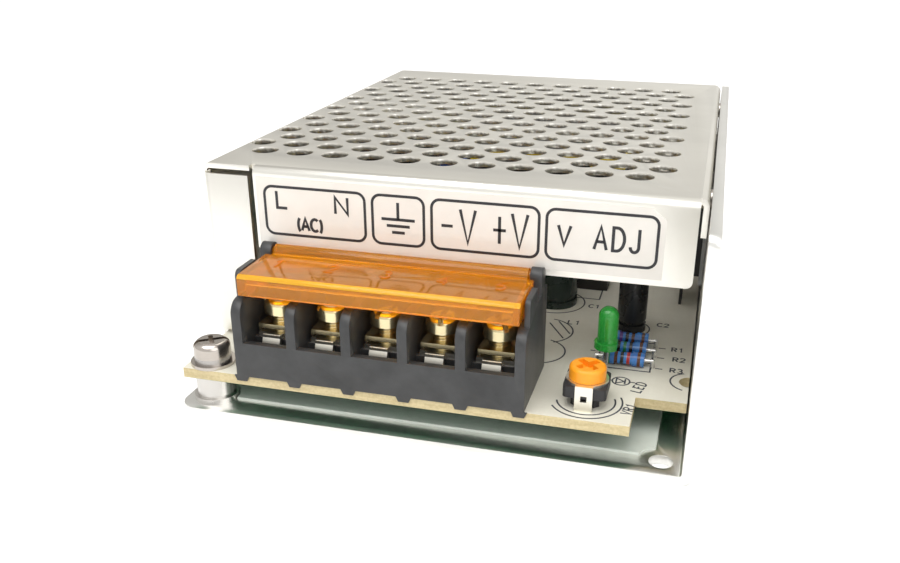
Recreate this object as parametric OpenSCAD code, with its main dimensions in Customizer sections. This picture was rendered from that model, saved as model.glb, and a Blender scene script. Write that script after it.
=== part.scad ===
// Enclosed switching power supply: folded chassis, perforated folded cover, open terminal bay
// in front. Millimetres, X to the right, Y to the back, Z up, origin under the middle.

/* [Case] */
// Outside width
case_w = 78; // [76:0.5:84]
// Outside depth
case_d = 110; // [107:0.5:120]
// Outside height
case_h = 36; // [36:0.5:42]
// Thickness of the chassis sheet
chassis_t = 1.5; // [1.2:0.1:1.8]
// Thickness of the cover sheet
cover_t = 0.8; // [0.6:0.1:1]
// Outside radius of the cover's bends
cover_bend = 1.3; // [1.1:0.1:1.6]
// Set-back of the front flap behind the chassis front edge
bay_d = 14.8; // [14.6:0.1:16]
// Height of the front flap
flap_h = 12.9; // [12:0.1:13.2]
// Height of the cover's short right flange
flange_h = 5.6; // [5:0.1:7]

/* [Perforation] */
// Hole diameter
vent_d = 4.3; // [3.5:0.1:4.6]
// Distance between neighbouring hole centres
vent_pitch = 6; // [5.6:0.05:6.1]
// Holes in the longer rows
vent_cols = 12; // [8:1:12]
// Number of rows
vent_rows = 15; // [8:1:15]

/* [Circuit board] */
// Gap between chassis base and board
standoff_h = 4.35; // [4:0.05:4.8]
// Board thickness
board_t = 1.6; // [1.5:0.1:1.7]
// Width of the corner notch over the fixing hole
notch_w = 7.3; // [6.8:0.1:7.8]
// Depth of the corner notch
notch_d = 8.6; // [8:0.1:9]

/* [Terminal block] */
// Distance between neighbouring ways
way_pitch = 8.5; // [8:0.05:8.7]
// Thickness of the partition walls
rib_t = 1.5; // [1.3:0.05:1.7]
// Depth of the block, front to back
block_d = 15.4; // [15.2:0.1:16]
// Diameter of the terminal screw's shank
screw_d = 2.9; // [2.6:0.1:3.1]
// Head diameter of the terminal screw
screw_head_d = 5.2; // [4.8:0.1:5.5]
// Radius of the hinged cover's round spine
spine_r = 1.15; // [1:0.05:1.2]
// Thickness of the hinged cover
lid_t = 1; // [0.8:0.05:1.1]

/* [Board parts] */
// Diameter of the indicator lamp's lens
led_d = 3; // [2.8:0.1:3.2]
// Diameter of the trimmer's rotor
rotor_d = 5.3; // [4.8:0.1:5.6]
// Diameter of the film resistors
resistor_d = 2.3; // [2:0.1:2.5]
// Width of the transformer core
core_w = 28; // [26:0.5:29]
// Height of the transformer above the board
core_h = 24.6; // [22:0.2:25]
// Diameter of the mains reservoir capacitor
bulk_d = 16; // [14:0.5:17]
// Diameter of the output capacitors
out_cap_d = 8; // [7:0.5:8.5]
// Diameter of the fixing screws
fix_d = 3; // [2.8:0.1:3.1]

/* [Hidden] */
x0 = -case_w / 2;
x1 = case_w / 2;
y0 = -case_d / 2;
y1 = case_d / 2;
wall_gap = 0.25;
flap_y = y0 + bay_d;
flap_x0 = x0 + 8.6;
flap_z = case_h - flap_h;
cover_x1 = x1 - chassis_t - wall_gap;
flap_x1 = cover_x1 - cover_t - 0.35;
vent_x = x0 + 2.9;
vent_y = flap_y + 10.2;
vent_row = vent_pitch * sqrt(3) / 2;
board_z = chassis_t + standoff_h;
top_z = board_z + board_t;
board_x0 = x0 + cover_t + 0.2;
board_x1 = x1 - chassis_t - 0.3;
board_y0 = y0 + 1.5;
board_y1 = y1 - 2.5;
fit_gap = 0.05;
play = 0.35;
fix_x = 4.5;
fix_y = 4.6;
fix_at = [[x0 + fix_x, y0 + fix_y], [x0 + fix_x, y1 - 7], [x1 - 7, y1 - 7], [x1 - 7, y0 + 62]];
lug_y = [y0 + 36, y1 - 26];
lug_w = 11;
lug_h = 13.5;
lug_screw_z = 10;
wall_screw_y = [flap_y + 12, y1 - 14];
wall_screw_z = case_h - 3.1;
base_hole = [x1 - 4.5, y0 + 3.3];
tap_x = 25;
tap_y = [y0 + 22, y1 - 20];
side_hole = [[y0 + 13, chassis_t + 12], [y1 - 18, chassis_t + 12]];

ways = 5;
block_x0 = x0 + 10.25;
block_w = ways * way_pitch + rib_t;
block_x1 = block_x0 + block_w;
block_y0 = y0 + 1.2;
block_y1 = block_y0 + block_d;
low_wall_z = top_z + 5.5;
rib_round = 2.2;
rib_z = top_z + 12;
end_z = top_z + 15;
lug_top_z = top_z + 16;
hinge_y = flap_y - 0.12 - play - spine_r;
hinge_z = top_z + 15.95;
ear_r = 1.4;
ear_w = 1.8;
end_t = 0.8;
pin_r = 0.7;
contact_z = top_z + 4.95;
contact_t = 0.8;
screw_y = block_y0 + 6.6;
washer_z = contact_z + contact_t + 0.8;
washer_t = 0.7;
head_z = washer_z + washer_t + 1.4;
head_h = 2.2;
lid_y0 = block_y0 + 0.7;
lid_top = hinge_z + 0.05;
lid_lip_z = top_z + 12.85;
function way_x(i) = block_x0 + rib_t / 2 + (i + 0.5) * way_pitch;

trim_x = block_x1 + 7.85;
trim_y = y0 + 7.3;
trim_w = 6.2;
trim_h = 3.9;
led_x = block_x1 + 9.4;
led_y = y0 + 16.4;
led_lift = 4.5;
res_x = block_x1 + 11.8;
res_len = 6.2;
res_y = [y0 + 20.3, y0 + 24.1, y0 + 27.7];
cap_x = block_x1 + 11.5;
cap_y = y0 + 34.5;
core_x = 7.8;
core_y = y0 + 60.5;
core_d = 21;
dev_y = [y0 + 50, y0 + 82];
dev_z = top_z + 10.4;

// A quarter ring from the +X axis to the +Y axis.
module quarter(ro, t) {
  intersection() {
    difference() {
      circle(ro, $fn = 48);
      circle(ro - t, $fn = 48);
    }
    square(ro);
  }
}

// A sharp corner's waste beside a quarter round, for rounding a corner at the origin.
module corner_waste(r) {
  difference() {
    translate([-1, -1]) square(r + 1);
    translate([r, r]) circle(r, $fn = 48);
  }
}

module rounded(w, d, r) {
  translate([r, 0]) square([w - 2 * r, d]);
  translate([0, r]) square([w, d - 2 * r]);
  for (x = [r, w - r], y = [r, d - r]) translate([x, y]) circle(r, $fn = 40);
}

// Extrudes a shape drawn in (X, Z) from y_a to y_b.
module along_y(y_a, y_b) {
  translate([0, y_b, 0]) rotate([90, 0, 0]) linear_extrude(y_b - y_a) children();
}

// Extrudes a shape drawn in (Y, Z) from x_a to x_b.
module along_x(x_a, x_b) {
  translate([x_a, 0, 0]) rotate([90, 0, 90]) linear_extrude(x_b - x_a) children();
}

module hole(p, r, z_a, z_b) {
  translate([p[0], p[1], z_a]) cylinder(r = r, h = z_b - z_a, $fn = 40);
}

// ---- Sheet metal -------------------------------------------------------------------------

// Base and right wall folded from one sheet, with two threaded lugs under the cover's left wall.
module chassis() color([0.78, 0.79, 0.8]) {
  bend = chassis_t + 0.5;
  wall_z = case_h - 0.1;
  difference() {
    union() {
      along_y(y0, y1) {
        translate([x0, 0]) square([case_w - bend, chassis_t]);
        translate([x1 - chassis_t, bend]) square([chassis_t, wall_z - bend]);
        translate([x1 - bend, bend]) mirror([0, 1]) quarter(bend, chassis_t);
      }
      for (y = lug_y) along_x(x0 + cover_t, x0 + cover_t + chassis_t)
        translate([y - lug_w / 2, chassis_t - 0.1]) {
          square([lug_w, lug_h - chassis_t - 1.9]);
          translate([2, 0]) square([lug_w - 4, lug_h - chassis_t + 0.1]);
          for (s = [2, lug_w - 2]) translate([s, lug_h - chassis_t - 1.9]) circle(2, $fn = 48);
        }
    }
    for (s = [0, 1]) translate([x0, s * y1 + (1 - s) * y0, -1]) mirror([0, s, 0])
      linear_extrude(chassis_t + 2) corner_waste(3);
    for (s = [0, 1]) translate([0, s * y1 + (1 - s) * y0, wall_z]) mirror([0, s, 0])
      along_x(x1 - chassis_t - 1, x1 + 1) mirror([0, 1]) corner_waste(1.6);
    hole(base_hole, fix_d / 2 + 0.2, -1, chassis_t + 1);
    for (x = [-tap_x, tap_x], y = tap_y) hole([x, y], fix_d / 2 - 0.25, -1, chassis_t + 1);
    for (h = side_hole) translate([x1 - chassis_t - 1, h[0], h[1]]) rotate([0, 90, 0])
      cylinder(r = fix_d / 2 + 0.25, h = chassis_t + 2, $fn = 40);
    for (y = wall_screw_y) translate([x1, y, wall_screw_z]) rotate([0, -90, 0]) screw_seat();
    for (y = lug_y) translate([x0, y, lug_screw_z]) rotate([0, 90, 0]) screw_seat();
  }
}

// The waste of a countersunk hole whose face lies at the origin, looking along +Z.
module screw_seat() {
  translate([0, 0, -0.01]) cylinder(r1 = fix_d / 2 + 1.25, r2 = fix_d / 2, h = 1.25, $fn = 48);
  cylinder(r = fix_d / 2, h = 8, $fn = 40);
}

// Top, flap, both side flanges and the rear wall folded from one perforated sheet.
module perforated_cover() color([0.82, 0.82, 0.8]) {
  t = cover_t;
  r = cover_bend;
  slot = 0.75;
  return_z = top_z + 0.7;
  difference() {
    union() {
      along_y(flap_y + r, y1 - r) {
        translate([x0 + r, case_h - t]) square([cover_x1 - x0 - 2 * r, t]);
        translate([x0, chassis_t]) square([t, case_h - r - chassis_t]);
        translate([x0 + r, case_h - r]) mirror([1, 0]) quarter(r, t);
      }
      along_y(flap_y + 1, y1 - r) {
        translate([cover_x1 - t, case_h - flange_h]) square([t, flange_h - r]);
        translate([cover_x1 - r, case_h - r]) quarter(r, t);
      }
      along_y(y1 - r - 0.01, y1 - 0.3) translate([x0, chassis_t]) square([t, case_h - r - chassis_t]);
      along_x(flap_x0, flap_x1) {
        translate([flap_y, flap_z]) square([t, flap_h - r]);
        translate([flap_y + r, case_h - r]) mirror([1, 0]) quarter(r, t);
      }
      along_y(flap_y + 0.25, flap_y + r) {
        translate([x0 + r, case_h - t]) square([flap_x0 - 0.6 - x0 - r, t]);
        translate([x0 + r, case_h - r]) mirror([1, 0]) quarter(r, t);
      }
      translate([0, 0, return_z]) linear_extrude(case_h - t - slot - return_z) {
        translate([x0 + r, flap_y]) square([flap_x0 - 0.9 - x0 - r, t]);
        translate([x0 + r, flap_y + r]) mirror([1, 1]) quarter(r, t);
      }
      along_x(x0 + r, cover_x1 - r) translate([y1 - r, case_h - r]) quarter(r, t);
      along_x(x0 + t + 0.3, cover_x1) translate([y1 - t, chassis_t]) square([t, case_h - r - chassis_t]);
    }
    for (v = [0 : vent_rows - 1], u = [0 : vent_cols - 1 - v_odd(v)])
      translate([vent_x + (u + v_odd(v) / 2) * vent_pitch, vent_y + v * vent_row, case_h - t - 0.2])
        cylinder(r = vent_d / 2, h = t + 1, $fn = 36);
    translate([flap_x1, 0, flap_z]) mirror([1, 0, 0]) along_y(flap_y - 1, flap_y + t + 1) corner_waste(1);
    translate([flap_x0 - 0.9, 0, return_z]) mirror([1, 0, 0]) along_y(flap_y - 1, flap_y + t + 1)
      corner_waste(1);
    for (y = wall_screw_y) translate([x1, y, wall_screw_z]) rotate([0, -90, 0]) screw_seat();
    for (y = lug_y) translate([x0, y, lug_screw_z]) rotate([0, 90, 0]) screw_seat();
  }
}

function v_odd(v) = (v + 1) % 2;

module cover_screws() color([0.75, 0.75, 0.76]) {
  for (y = wall_screw_y) translate([x1, y, wall_screw_z]) rotate([0, -90, 0])
    countersunk_screw(chassis_t + wall_gap + cover_t + 0.6);
  for (y = lug_y) translate([x0, y, lug_screw_z]) rotate([0, 90, 0])
    countersunk_screw(cover_t + chassis_t + 0.6);
}

module countersunk_screw(len) {
  difference() {
    union() {
      cylinder(r1 = fix_d / 2 + 1.2, r2 = fix_d / 2 - 0.02, h = 1.22, $fn = 48);
      cylinder(r = fix_d / 2 - 0.02, h = len, $fn = 40);
    }
    cross_recess(0.55, 2.8, 0.9);
  }
}

// A cross-shaped recess centred on the origin, going up from it.
module cross_recess(w, len, depth) {
  for (a = [0, 90]) rotate([0, 0, a]) translate([-len / 2, -w / 2, -0.1]) cube([len, w, depth + 0.1]);
}

module front_label() color([0.9, 0.89, 0.85]) {
  along_y(flap_y - 0.12, flap_y) difference() {
    translate([flap_x0 + 0.5, flap_z + 0.9]) square([61.7 + case_w - 78, flap_h - 2.4]);
    translate([flap_x0 + 62.3 + case_w - 78, case_h - 1.4]) rotate(-35) square(3, center = true);
  }
}

module insulating_sheet() color([0.86, 0.87, 0.82]) {
  translate([0, 0, chassis_t]) linear_extrude(0.4) difference() {
    translate([x0 + 3, y0 + 4.2]) square([case_w - 8.4, case_d - 8.4]);
    for (p = fix_at) translate(p) circle(3.6, $fn = 48);
    translate(base_hole) circle(3.2, $fn = 48);
  }
}

// ---- Board and its fixings ---------------------------------------------------------------

module circuit_board() color([0.84, 0.82, 0.72]) {
  difference() {
    translate([board_x0, board_y0, board_z]) cube([board_x1 - board_x0, board_y1 - board_y0, board_t]);
    translate([x1 - 1.8 - notch_w, board_y0 - 1, board_z - 1]) cube([notch_w + 5, notch_d + 1, board_t + 2]);
    for (p = fix_at) hole(p, fix_d / 2 + 0.15, board_z - 1, top_z + 1);
    for (y = lug_y) translate([x0, y - lug_w / 2 - 0.5, board_z - 1])
      cube([cover_t + chassis_t + 0.5, lug_w + 1, board_t + 2]);
    hole([board_x1 + 0.2, y0 + 16.8], 1.7, board_z - 1, top_z + 1);
  }
}

module board_standoffs() color([0.7, 0.7, 0.7]) {
  for (p = fix_at) translate([p[0], p[1], chassis_t]) rotate_extrude($fn = 64) difference() {
    union() {
      square([2.9, standoff_h]);
      square([3.4, 0.9]);
    }
    translate([-1, -1]) square([1 + fix_d / 2, standoff_h + 2]);
  }
}

module board_flat_washers() color([0.76, 0.76, 0.76]) {
  for (p = fix_at) translate([p[0], p[1], top_z]) ring(3.4, fix_d / 2 + 0.1, 0.5);
}

module board_spring_washers() color([0.66, 0.66, 0.67]) {
  for (p = fix_at) translate([p[0], p[1], top_z + 0.5]) difference() {
    ring(2.8, fix_d / 2 + 0.1, 0.9);
    rotate([0, 0, 215]) translate([0, -0.2, -1]) rotate([18, 0, 0]) cube([5, 0.4, 4]);
  }
}

module ring(ro, ri, h) {
  difference() {
    cylinder(r = ro, h = h, $fn = 64);
    translate([0, 0, -1]) cylinder(r = ri, h = h + 2, $fn = 48);
  }
}

// Pan-head screws with a combined cross and slot.
module board_screws() color([0.74, 0.74, 0.74]) {
  for (p = fix_at) translate([p[0], p[1], top_z + 1.4]) difference() {
    union() {
      pan_head(2.8, 2.4);
      translate([0, 0, 0.1 - 5.2 - board_t]) cylinder(r = fix_d / 2 - 0.02, h = 5.2 + board_t, $fn = 40);
    }
    translate([0, 0, 2.4]) rotate([0, 0, 35]) mirror([0, 0, 1]) {
      cross_recess(0.7, 3, 1.3);
      cross_slot();
    }
  }
}

module cross_slot() {
  translate([-4, -0.4, -0.1]) cube([8, 0.8, 0.9]);
}

module pan_head(r, h) {
  rotate_extrude($fn = 64) {
    square([r, h * 0.55]);
    square([r * 0.72, h]);
    translate([r - h * 0.45, h * 0.55]) intersection() {
      circle(h * 0.45, $fn = 40);
      square(h);
    }
  }
}

// ---- Terminal block ----------------------------------------------------------------------

// Side outline of the partitions, drawn in (Y, Z).
module rib_outline() {
  translate([block_y0, top_z]) square([block_d, rib_z - rib_round - top_z]);
  translate([block_y0 + rib_round, top_z]) square([block_d - rib_round, rib_z - top_z]);
  translate([block_y0 + rib_round, rib_z - rib_round]) circle(rib_round, $fn = 48);
}

// Side outline of the end walls' upper part, with the front lug and the hinge ear.
module end_outline() {
  translate([block_y0 + 2.4, rib_z - 1]) square([block_d - 2.4, end_z - 1.4 - rib_z + 1]);
  translate([block_y0 + 2.4, rib_z - 1]) square([5.2, lug_top_z - 1 - rib_z + 1]);
  translate([block_y0 + 3.4, rib_z - 1]) square([4.2, lug_top_z - rib_z + 1]);
  translate([block_y0 + 3.4, lug_top_z - 1]) circle(1, $fn = 40);
}

module ear_outline() {
  translate([hinge_y, hinge_z]) circle(ear_r, $fn = 56);
  translate([hinge_y - ear_r, rib_z - 1]) square([2 * ear_r, hinge_z - rib_z + 1]);
}

// Moulded housing: a bay for each way, open to the front and top, with a pit under each tongue.
module terminal_block() color([0.1, 0.1, 0.11]) {
  foot = 0.8;
  difference() {
    union() {
      for (i = [0 : ways]) along_x(block_x0 + i * way_pitch, block_x0 + i * way_pitch + rib_t)
        rib_outline();
      for (x = [block_x0, block_x1 - end_t]) along_x(x, x + end_t) end_outline();
      for (x = [block_x0, block_x1 - ear_w]) along_x(x, x + ear_w) ear_outline();
      along_x(block_x0 + 0.1, block_x1 - 0.1) {
        translate([block_y0, top_z]) square([block_d, 3]);
        translate([block_y0, top_z]) square([1.2, low_wall_z - top_z]);
        translate([block_y0 + 4, top_z]) square([block_d - 4, contact_z - top_z]);
        translate([block_y0 + 12.8, top_z]) square([block_d - 12.8, rib_z - 1 - top_z]);
      }
      for (i = [0 : ways]) translate([block_x0 + i * way_pitch + rib_t / 2, 0, top_z])
        along_y(block_y0, board_y0) polygon([[-1.2, 0.1], [-0.8, -foot], [0.8, -foot], [1.2, 0.1]]);
    }
    for (i = [0 : ways - 1]) hole([way_x(i), screw_y], screw_d / 2 + 0.45, top_z + 0.9, contact_z + 1);
    for (x = [block_x0 + 0.6, block_x1 - ear_w - 0.5])
      translate([x, hinge_y, hinge_z]) rotate([0, 90, 0]) cylinder(r = pin_r + fit_gap, h = ear_w - 0.1, $fn = 40);
  }
}

// Plated strips under the screws, each with a narrow tongue turned down at the front.
module terminal_contacts() color([0.86, 0.82, 0.68]) {
  tongue = 2.8;
  for (i = [0 : ways - 1]) difference() {
    union() {
      translate([way_x(i) - 3, block_y0 + 4.3, contact_z]) cube([6, 8.3, contact_t]);
      translate([way_x(i) - tongue / 2 - 0.5, block_y0 + 3.6, contact_z]) cube([tongue, 1, contact_t]);
      translate([way_x(i) - tongue / 2 - 0.5, block_y0 + 3.3, contact_z - 0.9])
        cube([tongue, 0.6, contact_t + 0.9]);
    }
    hole([way_x(i), screw_y], screw_d / 2 + fit_gap, contact_z - 1, contact_z + 2);
  }
}

// Square clamping washer with its sides turned down, held loosely on the screw.
module clamp_washer(i) color([0.85, 0.78, 0.55]) {
  w = 5.4;
  difference() {
    translate([way_x(i) - w / 2, screw_y - 2.7, washer_z]) {
      cube([w, 5.4, washer_t]);
      for (x = [0, w - 0.5]) translate([x, 0, -0.35]) cube([0.5, 5.4, 0.5]);
    }
    hole([way_x(i), screw_y], screw_d / 2 + fit_gap, washer_z - 1, washer_z + 2);
  }
}

module terminal_screw(i) color([0.86, 0.77, 0.5]) {
  translate([way_x(i), screw_y, head_z]) difference() {
    union() {
      pan_head(screw_head_d / 2, head_h);
      translate([0, 0, 0.1 - (head_z - contact_z + 2.6)])
        cylinder(r = screw_d / 2, h = head_z - contact_z + 2.6, $fn = 48);
    }
    translate([0, 0, head_h]) rotate([0, 0, 20 + 25 * i]) mirror([0, 0, 1]) {
      cross_recess(0.7, 2.8, 1.2);
      cross_slot();
    }
  }
}

// Side outline of the see-through cover: round spine, flat top, lip turned down in front.
module lid_outline(lip) {
  translate([lid_y0 + 0.8, lid_top - lid_t]) square([hinge_y - lid_y0 - 0.8, lid_t]);
  translate([lid_y0, lid_lip_z]) square([lip, lid_top - 0.8 - lid_lip_z]);
  translate([lid_y0 + 0.8, lid_top - 0.8]) circle(0.8, $fn = 40);
}

module terminal_cover() color([1, 0.55, 0.05, 0.75]) {
  outer = end_t + play;
  inner = ear_w + play;
  front = hinge_y - ear_r - play;
  pin_in = 0.5;
  along_x(block_x0 + inner, block_x1 - inner) {
    lid_outline(lid_t);
    translate([hinge_y, hinge_z]) circle(spine_r, $fn = 48);
  }
  for (x = [block_x0 + outer, block_x1 - inner - 0.1]) along_x(x, x + inner - outer + 0.1)
    intersection() {
      lid_outline(front - lid_y0);
      translate([lid_y0 - 1, 0]) square([front - lid_y0 + 1, 200]);
    }
  for (x = [block_x0 + ear_w - 0.9, block_x1 - inner - 0.1]) translate([x, hinge_y, hinge_z])
    rotate([0, 90, 0]) cylinder(r = pin_r, h = 0.9 + play + 0.1, $fn = 40);
}

// ---- Parts in the front bay --------------------------------------------------------------

module trimmer_base() color([0.12, 0.12, 0.12]) {
  h = trim_h - 0.4;
  translate([trim_x, trim_y, top_z]) difference() {
    union() {
      translate([-trim_w / 2, -trim_w / 2, h - 1.7]) linear_extrude(1.7) rounded(trim_w, trim_w, 0.8);
      translate([0, 0, 0.4]) cylinder(r1 = trim_w / 2 - 1, r2 = trim_w / 2 - 0.1, h = h - 1.4, $fn = 56);
      for (a = [45 : 90 : 315]) rotate([0, 0, a]) translate([1.4, -0.5, 0]) cube([1, 1, 1.2]);
    }
    translate([0, 0, 1.5]) cylinder(r = 1 + fit_gap, h = 5, $fn = 40);
  }
}

// Wiper plate on the base, with a holed tab turned down to the board.
module trimmer_plate() color([0.85, 0.85, 0.84]) {
  t = 0.35;
  z = top_z + trim_h - 0.4;
  front = trim_y - trim_w / 2 - t;
  difference() {
    union() {
      translate([trim_x, trim_y, z]) cylinder(r = trim_w / 2 - 0.05, h = t, $fn = 64);
      translate([trim_x - 1.25, front, z]) cube([2.5, 2, t]);
      translate([trim_x - 1.25, front, top_z]) cube([2.5, t, trim_h - 0.4 + t]);
    }
    translate([trim_x, trim_y, z - 1]) cylinder(r = 1 + fit_gap, h = 3, $fn = 40);
    translate([trim_x - 0.45, front - 1, top_z + 1.5]) cube([0.9, 3, 0.9]);
  }
}

module trimmer_rotor() color([0.95, 0.6, 0.1]) {
  r = rotor_d / 2;
  h = 1.9;
  translate([trim_x, trim_y, top_z + trim_h]) difference() {
    union() {
      rotate_extrude($fn = 64) {
        square([r, h - 0.5]);
        square([r - 0.5, h]);
        translate([r - 0.5, h - 0.5]) circle(0.5, $fn = 32);
      }
      translate([0, 0, -1.9]) cylinder(r = 1, h = 2, $fn = 40);
    }
    translate([0, 0, h]) mirror([0, 0, 1]) rotate([0, 0, 45]) cross_recess(1, 3.6, 0.9);
    translate([-0.4, -0.4, h - 1.3]) cube([0.8, 0.8, 2]);
  }
}

module status_led() color([0.2, 0.75, 0.25, 0.8]) {
  r = led_d / 2;
  translate([led_x, led_y, top_z + led_lift]) {
    rotate_extrude($fn = 64) {
      square([r, 5.1]);
      intersection() {
        translate([0, 5.1]) circle(r, $fn = 64);
        square([r, 10]);
      }
    }
    difference() {
      cylinder(r = r + 0.4, h = 1, $fn = 64);
      translate([r + 0.05, -3, -1]) cube([3, 6, 3]);
    }
  }
}

module led_leads() color([0.78, 0.78, 0.78]) {
  for (s = [-1.27, 1.27]) translate([led_x - 0.25, led_y + s - 0.25, top_z]) cube([0.5, 0.5, led_lift]);
}

// Axial film resistor lying on the board, its leads bent down at both ends.
module resistor(i) color([0.3, 0.5, 0.8]) {
  r = resistor_d / 2;
  wire = 0.3;
  out = res_len / 2 + 1.3;
  translate([res_x, res_y[i], top_z + r]) {
    rotate([0, 90, 0]) rotate_extrude($fn = 48) {
      translate([0, -res_len / 2]) square([r - 0.2, res_len]);
      for (s = [-1, 1]) translate([0, s * (res_len / 2 - 0.9) - 0.9]) square([r, 1.8]);
    }
    rotate([0, 90, 0]) translate([0, 0, -out]) cylinder(r = wire, h = 2 * out, $fn = 24);
    for (s = [-1, 1]) translate([s * out, 0, 0]) {
      sphere(r = wire, $fn = 24);
      translate([0, 0, -r]) cylinder(r = wire, h = r, $fn = 24);
    }
  }
}

// Radial electrolytic can with its crimp groove and a rolled top edge.
module can(d, h) {
  r = d / 2;
  rotate_extrude($fn = 72) {
    square([r - 0.35, h - 0.2]);
    square([r, 1.2]);
    translate([0, 2]) square([r, h - 2.7]);
    translate([0, 0]) square([r - 0.7, h]);
    translate([r - 0.7, h - 0.7]) circle(0.7, $fn = 32);
  }
}

module feedback_capacitor() color([0.1, 0.1, 0.11]) {
  translate([cap_x, cap_y, top_z]) can(4.8, 11);
}

module output_capacitors() color([0.12, 0.16, 0.15]) {
  for (i = [0 : 2]) translate([block_x1 - 3 - 9.6 * i, y0 + 42.7, top_z]) can(out_cap_d, 16);
}

// ---- Parts under the perforated top ------------------------------------------------------

module output_choke_core() color([0.85, 0.8, 0.3]) {
  translate([core_x - 0.6, y1 - 10, top_z + 8.15]) rotate([90, 0, 0]) ring_core(7.6, 4.2, 6);
}

module ring_core(ro, ri, h) {
  translate([0, 0, -h / 2]) difference() {
    cylinder(r = ro, h = h, $fn = 64);
    translate([0, 0, -1]) cylinder(r = ri, h = h + 2, $fn = 48);
  }
}

// Copper turns wrapped round the ring core, each a closed rectangular hoop.
module output_choke_winding() color([0.75, 0.42, 0.2]) {
  translate([core_x - 0.6, y1 - 10, top_z + 8.15]) rotate([90, 0, 0])
    for (a = [0 : 20 : 320]) rotate([0, 0, a - 70]) ring_turn(7.6, 4.2, 6);
}

module ring_turn(ro, ri, h) {
  w = 0.9;
  translate([0, -w / 2, 0]) difference() {
    translate([ri - w, 0, -h / 2 - w]) cube([ro - ri + 2 * w, w, h + 2 * w]);
    translate([ri - 0.05, -1, -h / 2]) cube([ro - ri + 0.05, w + 2, h]);
  }
}

// Ferrite frame standing on the bobbin's pin rail.
module transformer_core() color([0.2, 0.2, 0.21]) {
  leg = 5;
  translate([core_x - core_w / 2, core_y - core_d / 2 + 4.5, top_z + 3]) difference() {
    cube([core_w, core_d - 9, core_h - 3]);
    translate([leg, -1, leg]) cube([core_w - 2 * leg, core_d, core_h - 3 - 2 * leg]);
  }
}

module transformer_bobbin() color([0.14, 0.13, 0.12]) {
  translate([core_x - core_w / 2 + 1, core_y - core_d / 2, top_z]) cube([core_w - 2, core_d, 3]);
  for (y = [core_y - core_d / 2, core_y + core_d / 2 - 1])
    translate([core_x - core_w / 2 + 5.5, y, top_z + 3]) cube([core_w - 11, 1, core_h - 4]);
}

// Taped winding, full round the middle of the frame.
module transformer_winding() color([0.93, 0.82, 0.15]) {
  w = core_w - 10.4;
  translate([core_x - w / 2, core_y - core_d / 2 + 1, top_z + 8.2]) cube([w, core_d - 2, core_h - 13.4]);
}

// Tape band holding the halves of the frame together.
module transformer_tape() color([0.93, 0.82, 0.15]) {
  translate([core_x, core_y, top_z + core_h - 2.7]) difference() {
    translate([-core_w / 2 - 0.3, 4.2 - core_d / 2, 0]) cube([core_w + 0.6, core_d - 8.4, 2.5]);
    translate([-core_w / 2, 4.5 - core_d / 2, -1]) cube([core_w, core_d - 9, 5]);
  }
}

module bulk_capacitor() color([0.13, 0.12, 0.14]) {
  translate([x0 + 15.5, core_y + 3, top_z]) can(bulk_d, 25);
}

module line_choke_core() color([0.22, 0.22, 0.23]) {
  translate([x0 + 13.5, y0 + 31, top_z + 6.4]) rotate([90, 0, 0]) ring_core(6.4, 3.4, 6);
}

module line_choke_windings() color([0.72, 0.4, 0.2]) {
  translate([x0 + 13.5, y0 + 31, top_z + 6.4]) rotate([90, 0, 0])
    for (s = [0, 180], a = [-56 : 16 : 56]) rotate([0, 0, a + s]) ring_turn(6.4, 3.4, 6);
}

module film_capacitor() color([0.92, 0.8, 0.2]) {
  translate([x0 + 25, y0 + 27, top_z]) along_y(0, 8) rounded(14, 13, 0.6);
}

// Blue disc capacitor standing on two wires.
module disc_capacitor() color([0.15, 0.35, 0.75]) {
  translate([core_x - core_w / 2 - 9.4, core_y + 15, top_z]) {
    translate([0, 0, 11]) rotate([90, 0, 0]) rotate_extrude($fn = 64) {
      translate([0, -1.6]) square([4.4, 3.2]);
      translate([4.4, 0]) circle(1.6, $fn = 32);
    }
    for (s = [-2.5, 2.5]) translate([s, 0, 0]) cylinder(r = 0.35, h = 7, $fn = 24);
  }
}

module fuse_tube() color([0.85, 0.88, 0.85, 0.6]) {
  translate([x0 + 20, y0 + 21.5, top_z + 2.8]) rotate([0, 90, 0]) difference() {
    translate([0, 0, -8]) cylinder(r = 2.3, h = 16, $fn = 48);
    translate([0, 0, -9]) cylinder(r = 1.7, h = 18, $fn = 48);
  }
}

module fuse_caps() color([0.8, 0.8, 0.8]) {
  for (s = [-1, 1]) translate([x0 + 20 + s * 7.5, y0 + 21.5, top_z + 2.8]) {
    rotate([0, 90, 0]) difference() {
      translate([0, 0, -2.6]) cylinder(r = 2.75, h = 5.2, $fn = 48);
      translate([0, 0, -3 - s * 2]) cylinder(r = 2.3, h = 6, $fn = 48);
    }
    translate([s * 1.9 - 0.4, -0.4, -2.8]) cube([0.8, 0.8, 1]);
  }
}

module inrush_thermistor() color([0.1, 0.25, 0.2]) {
  translate([x0 + 10, y0 + 45, top_z]) {
    translate([0, 0, 7]) rotate([90, 0, 0]) rotate_extrude($fn = 64) {
      translate([0, -1.9]) square([3.4, 3.8]);
      translate([3.4, 0]) circle(1.9, $fn = 32);
    }
    for (s = [-2.5, 2.5]) translate([s, 0, 0]) cylinder(r = 0.4, h = 4, $fn = 24);
  }
}

// Flat four-legged bridge with one chamfered corner.
module bridge_rectifier() color([0.11, 0.11, 0.12]) {
  translate([x0 + 7, y1 - 24, top_z]) {
    along_y(0, 3.6) difference() {
      translate([0, 3]) square([19, 11.5]);
      translate([19, 14.5]) rotate(45) square(3.6, center = true);
    }
    for (i = [0 : 3]) translate([1.4 + i * 5.1, 1.4, 0]) cube([1, 0.8, 3.1]);
  }
}

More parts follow.
